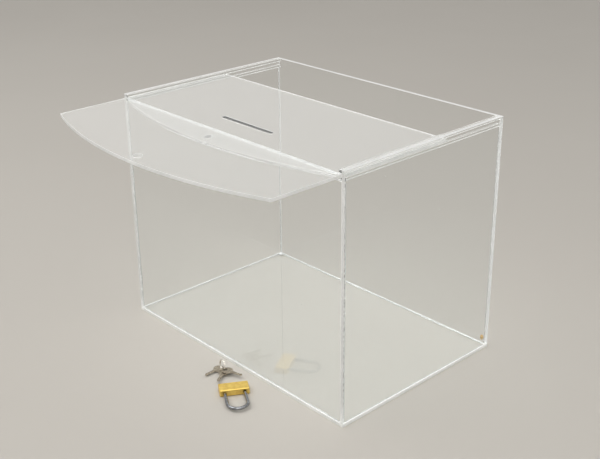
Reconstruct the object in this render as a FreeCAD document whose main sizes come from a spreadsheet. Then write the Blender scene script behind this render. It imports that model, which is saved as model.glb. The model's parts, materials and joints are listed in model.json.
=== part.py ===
"""Clear acrylic donation box with a sliding bow-fronted lid, a small brass padlock and its keys.

Millimetres, +Z up, front towards -Y. The origin is the centre of the underside of the base.
The lid stands partly drawn out over the front wall. The open padlock lies on the table in
front of the box, and so do its three keys on their split ring.
"""
import FreeCAD, Part
import math
import os
import re
import Sketcher

doc = FreeCAD.newDocument("donation_box")

# ---------------------------------------------------------------- driving dimensions

DIMENSIONS = [
    # the case
    ("case_width", 300.0, "outside width of the case"),
    ("case_depth", 200.0, "outside depth of the case"),
    ("case_height", 235.0, "height from the underside to the top of the side walls"),
    ("sheet", 3.0, "thickness of the acrylic walls and base"),
    # lid, grooves and lock shelf
    ("lid_sheet", 3.0, "thickness of the sliding lid"),
    ("shelf_sheet", 3.0, "thickness of the lock shelf"),
    ("rail_width", 3.5, "how far each rail stands in from its side wall"),
    ("upper_rail_height", 3.0, "height of the strip above the lid"),
    ("lower_rail_height", 3.0, "height of the strip below the lid"),
    ("lid_play_up", 0.4, "total play of the lid in the height of its groove"),
    ("lid_rest_gap", 0.1, "gap under the lid where it runs on the lower rails"),
    ("lid_play_side", 0.3, "gap between each lid edge and its side wall"),
    ("lid_play_back", 0.3, "gap behind the closed lid"),
    ("lid_drawn_out", 73.0, "how far the lid stands drawn out"),
    ("bow_rise", 26.9, "how far the curved front edges run back from the middle to the side walls"),
    ("bow_reach", 26.0, "how far lid and shelf stand out in front at the middle"),
    ("slot_length", 68.0, "length of the slot for coins and notes"),
    ("slot_width", 4.5, "width of the slot for coins and notes"),
    ("slot_from_back", 95.0, "from the back edge of the lid to the middle of the slot"),
    ("lock_hole_d", 8.0, "diameter of the two padlock holes"),
    ("lock_hole_inset", 11.5, "from the tip of the bow back to the middle of the padlock holes"),
    # padlock body
    ("padlock_width", 27.4, "width of the padlock body"),
    ("padlock_length", 13.0, "length of the padlock body along the shackle"),
    ("padlock_thick", 6.5, "thickness of the padlock body"),
    ("padlock_round", 0.9, "rounding of the padlock body edges"),
    ("padlock_x", 46.8, "middle of the shackle end of the padlock, across"),
    ("padlock_ahead", 34.5, "from the front of the case to the shackle end of the padlock"),
    ("padlock_turn", -31.3, "direction of the shackle on the table, degrees"),
    # shackle
    ("shackle_rod", 3.2, "diameter of the shackle rod"),
    ("leg_spacing", 18.4, "distance between the shackle legs"),
    ("leg_straight", 11.8, "straight part of the legs outside the locked padlock"),
    ("shackle_travel", 5.2, "how far the shackle springs open"),
    ("short_leg_depth", 4.4, "depth of the short leg in the locked padlock"),
    ("bore_floor", 0.8, "brass left past the end of the long leg's bore"),
    ("leg_clearance", 0.1, "radial gap round the shackle legs"),
    ("closed_spring", 1.4, "room for the shackle spring in the locked padlock"),
    ("bore_end_gap", 0.3, "gap past the end of the locked short leg"),
    ("neck_d", 2.0, "diameter of the neck turned in the long leg"),
    ("collar_length", 1.0, "length of the collar left at the end of the long leg"),
    ("stop_pin_d", 1.0, "diameter of the pin that holds the shackle in"),
    ("stop_pin_skin", 0.9, "brass left over the blind end of each cross pin"),
    ("pin_gap", 0.05, "gap between a cross pin and the groove it runs in"),
    # latch
    ("latch_depth", 1.8, "from the shackle end to the near face of the latch"),
    ("latch_thick", 1.6, "thickness of the latch along the shackle"),
    ("latch_height", 2.2, "height of the latch"),
    ("latch_reach", 0.8, "how far the thrown latch enters the short leg"),
    ("latch_gap", 0.1, "gap round the latch in its channel and in the shackle notch"),
    ("latch_tail", 2.4, "length of the latch past the lock axis"),
    ("latch_web", 0.7, "metal left behind the drive groove of the latch"),
    ("latch_spring_length", 2.4, "length of the compressed latch spring"),
    # lock cylinder
    ("plug_d", 4.4, "diameter of the lock plug"),
    ("plug_clearance", 0.05, "radial gap round the lock plug"),
    ("plug_end_depth", 4.4, "from the shackle end to the inner end of the plug"),
    ("crank_offset", 1.2, "offset of the crank pin from the lock axis"),
    ("crank_pin_d", 1.0, "diameter of the crank pin"),
    ("crank_play", 0.35, "gap on each side of the crank pin in the latch groove"),
    ("plug_pin_d", 0.8, "diameter of the pin that holds the plug in"),
    ("plug_pin_from_face", 1.6, "from the key end to the middle of the plug pin"),
    ("plug_groove_depth", 0.45, "depth of the groove round the plug"),
    ("keyway_width", 1.0, "width of the keyway"),
    ("keyway_height", 3.2, "height of the keyway"),
    ("wafer_count", 3, "number of wafers in the plug"),
    ("wafer_thick", 0.5, "thickness of a wafer"),
    ("wafer_pitch", 1.5, "distance between wafers"),
    ("wafer_first", 3.2, "from the key end to the first wafer"),
    ("wafer_width", 2.2, "width of a wafer"),
    ("wafer_height", 3.6, "height of a wafer"),
    ("wafer_rim", 0.4, "metal above and below the window of a wafer"),
    ("wafer_play", 0.1, "gap round a wafer in its slot"),
    # springs
    ("spring_wire", 0.3, "wire of the two springs"),
    ("shackle_spring_d", 2.6, "outside diameter of the shackle spring"),
    ("shackle_spring_turns", 4, "turns of the shackle spring"),
    ("latch_spring_d", 1.7, "outside diameter of the latch spring"),
    ("latch_spring_turns", 4, "turns of the latch spring"),
    ("spring_seat", 0.1, "gap at each end of a spring"),
    # keys and ring
    ("ring_d", 11.0, "diameter of the split ring to the middle of its wire"),
    ("ring_wire", 0.8, "wire of the split ring"),
    ("ring_pitch", 0.86, "pitch of the two turns of the split ring"),
    ("ring_turns", 1.9, "turns of the split ring"),
    ("ring_x", 6.0, "middle of the ring, across"),
    ("ring_ahead", 15.6, "from the front of the case to the middle of the ring"),
    ("ring_turn", -13.0, "direction of the plane of the ring, degrees"),
    ("key_thick", 0.8, "thickness of a key"),
    ("key_first_height", 1.3, "height of the lowest key over the table"),
    ("key_pitch", 1.0, "height from one key to the next"),
    ("key_bow_d", 10.4, "diameter of the key bow"),
    ("key_hole_d", 3.8, "diameter of the hole in the key bow"),
    ("key_hole_offset", 2.8, "from the middle of the bow to its hole"),
    ("key_reach", 19.5, "from the hole to the tip of the key"),
    ("key_blade_width", 3.0, "width of the key blade"),
    ("key_cut_depth", 0.9, "depth of the cuts in the key blade"),
    ("key_cut_pitch", 2.4, "distance between the cuts"),
    ("key_cut_first", 3.4, "from the tip to the first cut"),
    ("key_cut_count", 3, "number of cuts"),
    ("key_1_turn", -89.0, "direction of the first key, degrees"),
    ("key_2_turn", -58.6, "direction of the second key, degrees"),
    ("key_3_turn", 16.6, "direction of the third key, degrees"),
    ("overcut", 1.0, "how far every cut runs past the face it opens"),
]

sheet = doc.addObject("Spreadsheet::Sheet", "dims")
for row, (alias, value, note) in enumerate(DIMENSIONS, start=1):
    sheet.set(f"A{row}", note)
    sheet.set(f"B{row}", str(value))
    sheet.setAlias(f"B{row}", alias)
doc.recompute()


def size(alias):
    """The value of one cell of the sheet."""
    return float(getattr(sheet, alias))


ALIASES = {alias for alias, _, _ in DIMENSIONS}


def cells(formula):
    """Write dims. before every alias in a formula."""
    return re.sub(r"[A-Za-z_]\w*", lambda word: ("dims." if word[0] in ALIASES else "") + word[0], formula)


# places that several pieces share, written once as formulas of the cells above
INSIDE_X = "(case_width / 2 - sheet)"
INSIDE_Y = "(case_depth / 2 - sheet)"
GROOVE_TOP = "(case_height - upper_rail_height)"
GROOVE_BOTTOM = f"({GROOVE_TOP} - lid_sheet - lid_play_up)"
BOW_TIP = "(case_depth / 2 + bow_reach)"
BOW_RADIUS = f"(({INSIDE_X} * {INSIDE_X} + bow_rise * bow_rise) / (2 * bow_rise))"
LOCK_HOLE_Y = f"({BOW_TIP} - lock_hole_inset)"
LID_BACK = f"({INSIDE_Y} - lid_play_back)"
LID_HALF_WIDTH = f"({INSIDE_X} - lid_play_side)"
LEG_Y = "(leg_spacing / 2)"
MID_Z = "(padlock_thick / 2)"
ROD_RADIUS = "(shackle_rod / 2)"
LATCH_FAR = "(latch_depth + latch_thick)"
LATCH_TIP = f"({LEG_Y} - {ROD_RADIUS} + latch_reach - crank_offset)"
CHANNEL_END = "(latch_tail + latch_spring_length + 2 * spring_seat)"
LONG_BORE_DEPTH = "(padlock_length - bore_floor)"
LONG_LEG_DEPTH = f"({LONG_BORE_DEPTH} - closed_spring)"
STOP_PIN_DEPTH = f"({LONG_LEG_DEPTH} - shackle_travel - collar_length - stop_pin_d / 2 - latch_gap)"
PLUG_RADIUS = "(plug_d / 2)"
PLUG_PIN_DEPTH = "(padlock_length - plug_pin_from_face)"
CRANK_TIP_DEPTH = "(latch_depth + latch_web + latch_gap)"
STOP_PIN_Y = f"({LEG_Y} - neck_d / 2 - pin_gap - stop_pin_d / 2)"
PLUG_PIN_Y = f"({PLUG_RADIUS} - plug_groove_depth + pin_gap + plug_pin_d / 2)"
PADLOCK_Y = "(0 - case_depth / 2 - padlock_ahead)"
RING_Y = "(0 - case_depth / 2 - ring_ahead)"
RING_RADIUS = "(ring_d / 2)"
RING_CENTRE_Z = f"({RING_RADIUS} + ring_wire / 2)"
# each key's direction, and the side of the upright ring that it hangs on
KEYS = (("key_1_turn", "-1"), ("key_2_turn", "1"), ("key_3_turn", "1"))

sub_parts = []


def keep(obj, label):
    """Name a finished sub-part and add it to the list that is written out."""
    obj.Label = label
    sub_parts.append(obj)
    return obj


def bind(obj, **formulas):
    """Tie properties of an object to the sheet; a double underscore stands for a dot."""
    for name, formula in formulas.items():
        obj.setExpression(name.replace("__", "."), cells(str(formula)))


def place(obj, x="0", y="0", z="0", turn=None):
    """Tie the place of an object, and its turn about the vertical in degrees, to the sheet."""
    if turn is not None:
        upright = FreeCAD.Rotation(FreeCAD.Vector(0, 0, 1), value_of(turn))
        obj.Placement = FreeCAD.Placement(FreeCAD.Vector(), upright)
        bind(obj, Placement__Rotation__Angle=turn)
    bind(obj, Placement__Base__x=x, Placement__Base__y=y, Placement__Base__z=z)


def place_in_padlock(obj):
    """Lay a piece of the padlock where the padlock lies: local +X runs out along the shackle."""
    place(obj, "padlock_x", PADLOCK_Y, "0", "padlock_turn")


# ---------------------------------------------------------------- building blocks


def box(name, length, width, height, x="0", y="0", z="0"):
    """A block with one corner at x, y, z."""
    obj = doc.addObject("Part::Box", name)
    bind(obj, Length=length, Width=width, Height=height)
    place(obj, x, y, z)
    return obj


def rod(name, radius, height, x="0", y="0", z="0", along=None):
    """A cylinder from x, y, z upwards, or along +X where along is "x"."""
    obj = doc.addObject("Part::Cylinder", name)
    if along == "x":
        obj.Placement = FreeCAD.Placement(FreeCAD.Vector(), FreeCAD.Rotation(FreeCAD.Vector(0, 1, 0), 90))
    bind(obj, Radius=radius, Height=height)
    place(obj, x, y, z)
    return obj


def fuse(name, pieces):
    obj = doc.addObject("Part::MultiFuse", name)
    obj.Shapes = pieces
    return obj


def cut(name, base, tool):
    obj = doc.addObject("Part::Cut", name)
    obj.Base = base
    obj.Tool = tool
    return obj


def body_with_sketch(name, plane="XY_Plane"):
    """A new body with one empty sketch on one of its own origin planes."""
    body = doc.addObject("PartDesign::Body", name)
    sketch = body.newObject("Sketcher::SketchObject", f"{name}_sketch")
    support = next(o for o in body.Origin.OriginFeatures if o.Role == plane)
    sketch.AttachmentSupport = [(support, "")]
    sketch.MapMode = "FlatFace"
    return body, sketch


def value_of(formula):
    """The number that a formula gives now, to start the sketch solver near its answer."""
    answer = doc.Objects[-1].evalExpression(cells(formula))
    return float(getattr(answer, "Value", answer))


def constrain(sketch, kind, *where, formula=None):
    """Add a constraint to a sketch; a formula takes its value from the sheet."""
    if formula is None:
        sketch.addConstraint(Sketcher.Constraint(kind, *where))
        return
    index = sketch.addConstraint(Sketcher.Constraint(kind, *where, value_of(formula)))
    sketch.setExpression(f"Constraints[{index}]", cells(formula))


def add_circle(sketch, x, y, radius):
    """A circle with its middle on the Y axis where x is "0", or else at x, y."""
    middle = FreeCAD.Vector(value_of(x), value_of(y), 0)
    circle = sketch.addGeometry(Part.Circle(middle, FreeCAD.Vector(0, 0, 1), value_of(radius)))
    constrain(sketch, "Radius", circle, formula=radius)
    for kind, formula, axis in (("DistanceX", x, -2), ("DistanceY", y, -1)):
        if formula == "0":
            constrain(sketch, "PointOnObject", circle, 3, axis)
        else:
            constrain(sketch, kind, -1, 1, circle, 3, formula=formula)


def pad(body, sketch, thickness):
    """Raise the sketch into a plate."""
    plate = body.newObject("PartDesign::Pad", f"{body.Name}_pad")
    plate.Profile = sketch
    bind(plate, Length=thickness)
    body.Tip = plate


def coil(name, x, y, z, axis, wire, radius, pitch, length):
    """A round wire wound about the X or Y direction of its body, starting at x, y, z."""
    body, sketch = body_with_sketch(name)
    bind(sketch, AttachmentOffset__Base__x=x, AttachmentOffset__Base__y=y, AttachmentOffset__Base__z=z)
    across = {"x": ("0", radius), "y": (radius, "0")}[axis]
    add_circle(sketch, *across, f"({wire} / 2)")
    winding = body.newObject("PartDesign::AdditiveHelix", f"{name}_winding")
    winding.Profile = sketch
    winding.ReferenceAxis = (sketch, ["H_Axis" if axis == "x" else "V_Axis"])
    winding.Mode = "pitch-height-angle"
    bind(winding, Pitch=pitch, Height=length)
    body.Tip = winding
    return body


# ---------------------------------------------------------------- the case


def make_case():
    """Base, four walls and the four strips that make the grooves for the lid."""
    across = "(case_width - 2 * sheet)"
    base = box("base", "case_width", "case_depth", "sheet", "0 - case_width / 2", "0 - case_depth / 2")
    keep(base, "base_plate")

    front_height = f"({GROOVE_BOTTOM} - shelf_sheet - sheet)"
    front = box("front", across, "sheet", front_height, f"0 - {INSIDE_X}", "0 - case_depth / 2", "sheet")
    keep(front, "front_wall")

    full_height = "(case_height - sheet)"
    back = box("back", across, "sheet", full_height, f"0 - {INSIDE_X}", INSIDE_Y, "sheet")
    keep(back, "back_wall")

    upper = ("rail_width", "case_depth - sheet", "upper_rail_height")
    lower = ("rail_width", "case_depth - 2 * sheet", "lower_rail_height")
    lower_z = f"{GROOVE_BOTTOM} - lower_rail_height"
    sides = {
        "left": ("0 - case_width / 2", f"0 - {INSIDE_X}"),
        "right": (INSIDE_X, f"{INSIDE_X} - rail_width"),
    }
    for side, (wall_x, rail_x) in sides.items():
        wall = box(side, "sheet", "case_depth", full_height, wall_x, "0 - case_depth / 2", "sheet")
        keep(wall, f"{side}_wall")
        lower_rail = box(f"{side}_lower", *lower, rail_x, f"0 - {INSIDE_Y}", lower_z)
        keep(lower_rail, f"{side}_lower_rail")
        upper_rail = box(f"{side}_upper", *upper, rail_x, "0 - case_depth / 2", GROOVE_TOP)
        keep(upper_rail, f"{side}_upper_rail")


def bow_fronted_plate(name, half_width, reach_back, thickness, slot=False):
    """A plate with a curved front edge and a padlock hole; the tip of the bow is its local origin."""
    body, sketch = body_with_sketch(name)
    half, back, radius = value_of(half_width), value_of(reach_back), value_of(BOW_RADIUS)
    spread = math.asin(half / radius)
    front = radius - radius * math.cos(spread)
    corner = {
        "back right": FreeCAD.Vector(half, back, 0),
        "back left": FreeCAD.Vector(-half, back, 0),
        "front left": FreeCAD.Vector(-half, front, 0),
        "front right": FreeCAD.Vector(half, front, 0),
    }
    circle = Part.Circle(FreeCAD.Vector(0, radius, 0), FreeCAD.Vector(0, 0, 1), radius)
    down = -math.pi / 2
    back_edge = sketch.addGeometry(Part.LineSegment(corner["back right"], corner["back left"]))
    left_edge = sketch.addGeometry(Part.LineSegment(corner["back left"], corner["front left"]))
    bow = sketch.addGeometry(Part.ArcOfCircle(circle, down - spread, down + spread))
    right_edge = sketch.addGeometry(Part.LineSegment(corner["front right"], corner["back right"]))
    loop = [back_edge, left_edge, bow, right_edge]
    for this, following in zip(loop, loop[1:] + loop[:1]):
        constrain(sketch, "Coincident", this, 2, following, 1)
    constrain(sketch, "Horizontal", back_edge)
    constrain(sketch, "Vertical", left_edge)
    constrain(sketch, "Vertical", right_edge)
    constrain(sketch, "PointOnObject", bow, 3, -2)
    constrain(sketch, "Radius", bow, formula=BOW_RADIUS)
    constrain(sketch, "DistanceY", -1, 1, bow, 3, formula=BOW_RADIUS)
    constrain(sketch, "DistanceX", -1, 1, back_edge, 1, formula=half_width)
    constrain(sketch, "DistanceX", back_edge, 2, -1, 1, formula=half_width)
    constrain(sketch, "DistanceY", -1, 1, back_edge, 1, formula=reach_back)
    add_circle(sketch, "0", "lock_hole_inset", "lock_hole_d / 2")
    if slot:
        add_slot(sketch, f"{reach_back} - slot_from_back")
    pad(body, sketch, thickness)
    return body


def add_slot(sketch, middle_y):
    """A slot with round ends across the middle of the plate."""
    half_run = "(slot_length - slot_width) / 2"
    run, y, radius = value_of(half_run), value_of(middle_y), value_of("slot_width / 2")
    up = FreeCAD.Vector(0, 0, 1)

    def point(x, rise):
        return FreeCAD.Vector(x, y + rise, 0)

    right_circle = Part.Circle(point(run, 0), up, radius)
    left_circle = Part.Circle(point(-run, 0), up, radius)
    far = sketch.addGeometry(Part.LineSegment(point(-run, radius), point(run, radius)))
    right = sketch.addGeometry(Part.ArcOfCircle(right_circle, -math.pi / 2, math.pi / 2))
    near = sketch.addGeometry(Part.LineSegment(point(run, -radius), point(-run, -radius)))
    left = sketch.addGeometry(Part.ArcOfCircle(left_circle, math.pi / 2, 3 * math.pi / 2))
    constrain(sketch, "Tangent", far, 2, right, 2)
    constrain(sketch, "Tangent", right, 1, near, 1)
    constrain(sketch, "Tangent", near, 2, left, 2)
    constrain(sketch, "Tangent", left, 1, far, 1)
    constrain(sketch, "Horizontal", far)
    constrain(sketch, "Radius", right, formula="slot_width / 2")
    constrain(sketch, "DistanceX", -1, 1, right, 3, formula=half_run)
    constrain(sketch, "DistanceX", left, 3, -1, 1, formula=half_run)
    constrain(sketch, "DistanceY", -1, 1, right, 3, formula=middle_y)


def make_lid_and_shelf():
    """The lock shelf on top of the front wall, and the lid that slides in over it."""
    shelf = bow_fronted_plate("shelf", INSIDE_X, "(bow_reach + sheet)", "shelf_sheet")
    place(shelf, "0", f"0 - {BOW_TIP}", f"{GROOVE_BOTTOM} - shelf_sheet")
    keep(shelf, "lock_shelf")
    lid_length = f"({BOW_TIP} + {LID_BACK})"
    lid = bow_fronted_plate("sliding_lid", LID_HALF_WIDTH, lid_length, "lid_sheet", slot=True)
    place(lid, "0", f"0 - {BOW_TIP} - lid_drawn_out", f"{GROOVE_BOTTOM} + lid_rest_gap")
    keep(lid, "lid")


# ---------------------------------------------------------------- the padlock, lying open
# Local axes: +X runs out along the shackle from the shackle end, Y across the body, Z up.


def make_padlock_body():
    body = doc.addObject("PartDesign::Body", "padlock_block")
    block = body.newObject("PartDesign::AdditiveBox", "brass_block")
    bind(block, Length="padlock_length", Width="padlock_width", Height="padlock_thick")
    bind(block, Placement__Base__x="0 - padlock_length", Placement__Base__y="0 - padlock_width / 2")
    doc.recompute()
    rounding = body.newObject("PartDesign::Fillet", "block_rounding")
    rounding.Base = (block, [f"Edge{i + 1}" for i in range(len(block.Shape.Edges))])
    bind(rounding, Radius="padlock_round")
    body.Tip = rounding

    leg_bore = f"{ROD_RADIUS} + leg_clearance"
    short_depth = "(short_leg_depth + bore_end_gap)"
    crank_room = "crank_offset + crank_pin_d / 2 + latch_gap"
    bore_radius = f"{PLUG_RADIUS} + plug_clearance"
    bore_length = "(padlock_length - plug_end_depth + overcut)"
    crank_start = "(plug_end_depth + latch_gap)"
    channel_x = f"0 - {LATCH_FAR} - latch_gap"
    channel_z = f"{MID_Z} - latch_height / 2 - latch_gap"
    channel_length = f"{LEG_Y} + {CHANNEL_END}"
    pin_depth = "padlock_thick - stop_pin_skin + overcut"
    hollows = [
        rod("short_bore", leg_bore, f"{short_depth} + overcut",
            f"0 - {short_depth}", f"0 - {LEG_Y}", MID_Z, "x"),
        rod("long_bore", leg_bore, f"{LONG_BORE_DEPTH} + overcut",
            f"0 - {LONG_BORE_DEPTH}", LEG_Y, MID_Z, "x"),
        rod("plug_bore", bore_radius, bore_length, "0 - padlock_length - overcut", "0", MID_Z, "x"),
        rod("crank_bore", crank_room, f"{crank_start} - {CRANK_TIP_DEPTH} + latch_gap * 2",
            f"0 - {crank_start}", "0", MID_Z, "x"),
        box("latch_channel", "latch_thick + 2 * latch_gap", channel_length, "latch_height + 2 * latch_gap",
            channel_x, f"0 - {LEG_Y}", channel_z),
        rod("stop_pin_hole", "stop_pin_d / 2", pin_depth,
            f"0 - {STOP_PIN_DEPTH}", STOP_PIN_Y, "0 - overcut"),
        rod("plug_pin_hole", "plug_pin_d / 2", pin_depth,
            f"0 - {PLUG_PIN_DEPTH}", PLUG_PIN_Y, "0 - overcut"),
    ]
    case = cut("padlock_shell", body, fuse("padlock_hollows", hollows))
    place_in_padlock(case)
    keep(case, "padlock_body")


def make_shackle():
    """The shackle, sprung open: its short leg stands clear of the body."""
    straight_end = "(leg_straight + shackle_travel)"
    short_end = "(shackle_travel - short_leg_depth)"
    long_end = f"(shackle_travel - {LONG_LEG_DEPTH})"
    short_length = f"{straight_end} - {short_end}"
    long_length = f"{straight_end} - {long_end}"
    short_leg = rod("short_leg", ROD_RADIUS, short_length, short_end, f"0 - {LEG_Y}", MID_Z, "x")
    long_leg = rod("long_leg", ROD_RADIUS, long_length, long_end, LEG_Y, MID_Z, "x")
    arch = doc.addObject("Part::Torus", "shackle_arch")
    arch.Placement = FreeCAD.Placement(FreeCAD.Vector(), FreeCAD.Rotation(FreeCAD.Vector(0, 0, 1), -90))
    arch.Angle3 = 180
    bind(arch, Radius1=LEG_Y, Radius2=ROD_RADIUS)
    place(arch, straight_end, "0", MID_Z)

    neck_start = f"({long_end} + collar_length)"
    neck_length = "(shackle_travel + stop_pin_d + 2 * latch_gap)"
    sleeve = rod("neck_sleeve", "shackle_rod", neck_length, neck_start, LEG_Y, MID_Z, "x")
    core = rod("neck_core", "neck_d / 2", neck_length, neck_start, LEG_Y, MID_Z, "x")
    notch_x = f"shackle_travel - {LATCH_FAR} - latch_gap"
    notch_y = f"0 - {LEG_Y} + {ROD_RADIUS} - latch_reach - latch_gap"
    notch = box("latch_notch", "latch_thick + 2 * latch_gap", "shackle_rod", "shackle_rod + 2 * overcut",
                notch_x, notch_y, f"{MID_Z} - {ROD_RADIUS} - overcut")
    hoop = fuse("shackle_hoop", [short_leg, long_leg, arch])
    turned = cut("shackle_turned", hoop, cut("neck_cut", sleeve, core))
    shackle = cut("shackle_notched", turned, notch)
    place_in_padlock(shackle)
    keep(shackle, "shackle")


def make_cross_pins():
    """The pin that keeps the shackle in and the pin that keeps the plug in."""
    pins = {
        "shackle_stop_pin": ("stop_pin_d / 2", STOP_PIN_DEPTH, STOP_PIN_Y),
        "plug_pin": ("plug_pin_d / 2", PLUG_PIN_DEPTH, PLUG_PIN_Y),
    }
    for label, (radius, depth, y) in pins.items():
        pin = rod(f"{label}_rod", radius, "padlock_thick - stop_pin_skin", f"0 - {depth}", y, "0")
        held = doc.addObject("Part::Compound", f"{label}_held")
        held.Links = [pin]
        place_in_padlock(held)
        keep(held, label)


def make_latch():
    block = box("latch_block", "latch_thick", f"{LATCH_TIP} + latch_tail", "latch_height",
                f"0 - {LATCH_FAR}", f"0 - {LATCH_TIP}", f"{MID_Z} - latch_height / 2")
    groove = box("latch_groove", "latch_thick - latch_web + overcut", "crank_pin_d + 2 * crank_play",
                 "latch_height + 2 * overcut", f"0 - {LATCH_FAR} - overcut",
                 "0 - crank_pin_d / 2 - crank_play", f"{MID_Z} - latch_height / 2 - overcut")
    latch = cut("latch_grooved", block, groove)
    place_in_padlock(latch)
    keep(latch, "latch")


def wafer_starts():
    """Where each wafer begins along the lock axis, as formulas."""
    return [f"(wafer_first + {i} * wafer_pitch - padlock_length)" for i in range(int(size("wafer_count")))]


def make_plug():
    """The lock plug with its keyway, wafer slots, pin groove and crank pin."""
    barrel_length = "padlock_length - plug_end_depth"
    barrel = rod("plug_barrel", PLUG_RADIUS, barrel_length, "0 - padlock_length", "0", MID_Z, "x")
    crank_length = f"padlock_length - overcut - {CRANK_TIP_DEPTH}"
    crank = rod("crank_pin", "crank_pin_d / 2", crank_length,
                "0 - padlock_length + overcut", "0", f"{MID_Z} + crank_offset", "x")
    groove_width = "(plug_pin_d + 2 * pin_gap)"
    groove_x = f"0 - {PLUG_PIN_DEPTH} - {groove_width} / 2"
    sleeve = rod("groove_sleeve", "plug_d", groove_width, groove_x, "0", MID_Z, "x")
    core = rod("groove_core", f"{PLUG_RADIUS} - plug_groove_depth", groove_width, groove_x, "0", MID_Z, "x")
    keyway_length = "(padlock_length - plug_end_depth - wafer_thick + overcut)"
    tools = [
        cut("groove_cut", sleeve, core),
        box("keyway", keyway_length, "keyway_width", "keyway_height",
            "0 - padlock_length - overcut", "0 - keyway_width / 2", f"{MID_Z} - keyway_height / 2"),
    ]
    for i, start in enumerate(wafer_starts()):
        slot_size = [f"{side} + 2 * wafer_play" for side in ("wafer_thick", "wafer_width", "wafer_height")]
        tools.append(box(f"wafer_slot_{i + 1}", *slot_size, f"{start} - wafer_play",
                         "0 - wafer_width / 2 - wafer_play", f"{MID_Z} - wafer_height / 2 - wafer_play"))
    plug = cut("plug_cut", fuse("plug_solid", [barrel, crank]), fuse("plug_tools", tools))
    place_in_padlock(plug)
    keep(plug, "lock_plug")


def make_wafers():
    wafers = []
    window_height = "(wafer_height - 2 * wafer_rim)"
    for i, start in enumerate(wafer_starts()):
        plate = box(f"wafer_plate_{i + 1}", "wafer_thick", "wafer_width", "wafer_height",
                    start, "0 - wafer_width / 2", f"{MID_Z} - wafer_height / 2")
        window = box(f"wafer_window_{i + 1}", "wafer_thick + 2 * overcut", "keyway_width", window_height,
                     f"{start} - overcut", "0 - keyway_width / 2", f"{MID_Z} - {window_height} / 2")
        wafers.append(cut(f"wafer_{i + 1}", plate, window))
    wafer_set = fuse("wafer_set", wafers)
    place_in_padlock(wafer_set)
    keep(wafer_set, "wafers")


def make_springs():
    shackle_room = "(closed_spring + shackle_travel)"
    shackle_length = f"({shackle_room} - 2 * spring_seat - spring_wire)"
    spring_start = f"0 - {LONG_BORE_DEPTH} + spring_seat + spring_wire / 2"
    shackle_spring = coil(
        "shackle_coil", spring_start, LEG_Y, MID_Z, "x",
        "spring_wire", "((shackle_spring_d - spring_wire) / 2)",
        f"{shackle_length} / shackle_spring_turns", shackle_length)
    place_in_padlock(shackle_spring)
    keep(shackle_spring, "shackle_spring")

    latch_length = "(latch_spring_length - spring_wire)"
    spring_start = "latch_tail + spring_seat + spring_wire / 2"
    latch_spring = coil(
        "latch_coil", "0 - latch_depth - latch_thick / 2", spring_start, MID_Z, "y",
        "spring_wire", "((latch_spring_d - spring_wire) / 2)",
        f"{latch_length} / latch_spring_turns", latch_length)
    place_in_padlock(latch_spring)
    keep(latch_spring, "latch_spring")


# ---------------------------------------------------------------- the keys on their ring


def make_key_ring():
    ring_width = "(ring_pitch * ring_turns)"
    ring = coil("ring_coil", "0", f"0 - {ring_width} / 2", "0", "y",
                "ring_wire", RING_RADIUS, "ring_pitch", ring_width)
    place(ring, "ring_x", RING_Y, RING_CENTRE_Z, "ring_turn")
    keep(ring, "key_ring")


def key_height(index):
    return f"(key_first_height + {index} * key_pitch)"


def key_hole_run(index):
    """How far out from the middle of the ring its wire crosses the middle of this key."""
    drop = f"({RING_CENTRE_Z} - {key_height(index)} - key_thick / 2)"
    return f"sqrt({RING_RADIUS} * {RING_RADIUS} - {drop} * {drop})"


def make_key(index):
    """A flat key; its hole is its local origin and its tip points along local +X."""
    name = f"key_{index + 1}"
    bow = rod(f"{name}_bow", "key_bow_d / 2", "key_thick", "key_hole_offset")
    shank_length = "(key_reach - key_blade_width / 2 - key_hole_offset)"
    shank = box(f"{name}_shank", shank_length, "key_blade_width", "key_thick", "key_hole_offset",
                "0 - key_blade_width / 2")
    tip = box(f"{name}_tip", "key_blade_width / sqrt(2)", "key_blade_width / sqrt(2)", "key_thick")
    place(tip, "key_reach - key_blade_width / 2", "0 - key_blade_width / 2", "0", "45")
    tools = [rod(f"{name}_hole", "key_hole_d / 2", "key_thick + 2 * overcut", z="0 - overcut")]
    for i in range(int(size("key_cut_count"))):
        tooth_gap = box(f"{name}_cut_{i + 1}", "key_blade_width", "key_blade_width",
                        "key_thick + 2 * overcut")
        place(tooth_gap, f"key_reach - key_cut_first - {i} * key_cut_pitch",
              "key_blade_width / 2 - key_cut_depth", "0 - overcut", "45")
        tools.append(tooth_gap)
    key = cut(f"{name}_cut_out", fuse(f"{name}_blank", [bow, shank, tip]), fuse(f"{name}_tools", tools))
    turn, side = KEYS[index]
    run = f"({side} * {key_hole_run(index)})"
    hole_x = f"ring_x + {run} * cos(ring_turn)"
    hole_y = f"{RING_Y} + {run} * sin(ring_turn)"
    place(key, hole_x, hole_y, key_height(index), turn)
    keep(key, name)


# ---------------------------------------------------------------- build, check and write

make_case()
make_lid_and_shelf()
make_padlock_body()
make_shackle()
make_cross_pins()
make_latch()
make_plug()
make_wafers()
make_springs()
make_key_ring()
for key_index in range(len(KEYS)):
    make_key(key_index)
doc.recompute()

for obj in doc.Objects:
    if "Invalid" in obj.State or "Error" in obj.State:
        raise RuntimeError(f"{obj.Name} did not compute: {obj.State}")
for part in sub_parts:
    if part.Shape.isNull() or not part.Shape.isValid() or not part.Shape.Solids:
        raise RuntimeError(f"{part.Label} has no valid solid")

os.makedirs("parts", exist_ok=True)
for part in sub_parts:
    part.Shape.exportStep(f"parts/{part.Label}.step")
    print(f"{part.Label}: {len(part.Shape.Solids)} solid(s), {part.Shape.Volume:.2f} mm3")
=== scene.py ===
"""Clear acrylic donation box with a bow-fronted sliding lid, a small brass padlock and its keys.

Laid out as an add-on and run as a script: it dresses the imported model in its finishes,
builds the detailed pieces in the model's own frame and sets up a plain studio.
"""

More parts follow.
